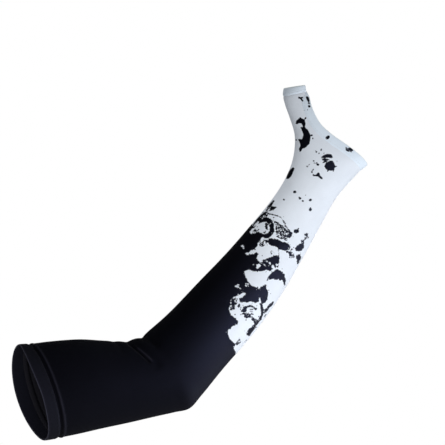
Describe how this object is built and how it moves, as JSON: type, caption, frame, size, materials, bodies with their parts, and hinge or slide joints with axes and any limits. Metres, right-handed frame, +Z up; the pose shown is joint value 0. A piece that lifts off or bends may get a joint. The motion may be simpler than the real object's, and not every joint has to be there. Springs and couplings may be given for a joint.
{
  "type": "thumb-hole arm sleeve",
  "caption": "stretch-knit compression arm sleeve with a slanting hand opening and a thumb stall, kept in the shape of a bent arm, black running out into white in an ink-splatter print",
  "frame": {"origin": "middle of the biceps opening, where the arm goes in", "axes": "the arm bends in the XZ plane, +Z up, +X from the upper arm towards the hand, and -Y the side with the back of the hand"},
  "size_m": [0.3807, 0.103, 0.3726],
  "materials": {
    "black_knit": "matte fine stretch knit",
    "printed_knit": "matte fine stretch knit, black breaking up into white in an ink-splatter print",
    "white_knit": "matte fine stretch knit with scattered ink specks",
    "black_hem": "matte folded knit",
    "white_hem": "matte folded knit"
  },
  "bodies": {
    "root": {"upper_arm": "black_knit", "elbow": "black_knit", "forearm_top": "black_knit", "forearm_low": "printed_knit", "wrist": "white_knit", "hand": "white_knit", "biceps_hem": "black_hem", "hand_hem": "white_hem", "thumb_hem": "white_hem"}
  },
  "joints": []
}
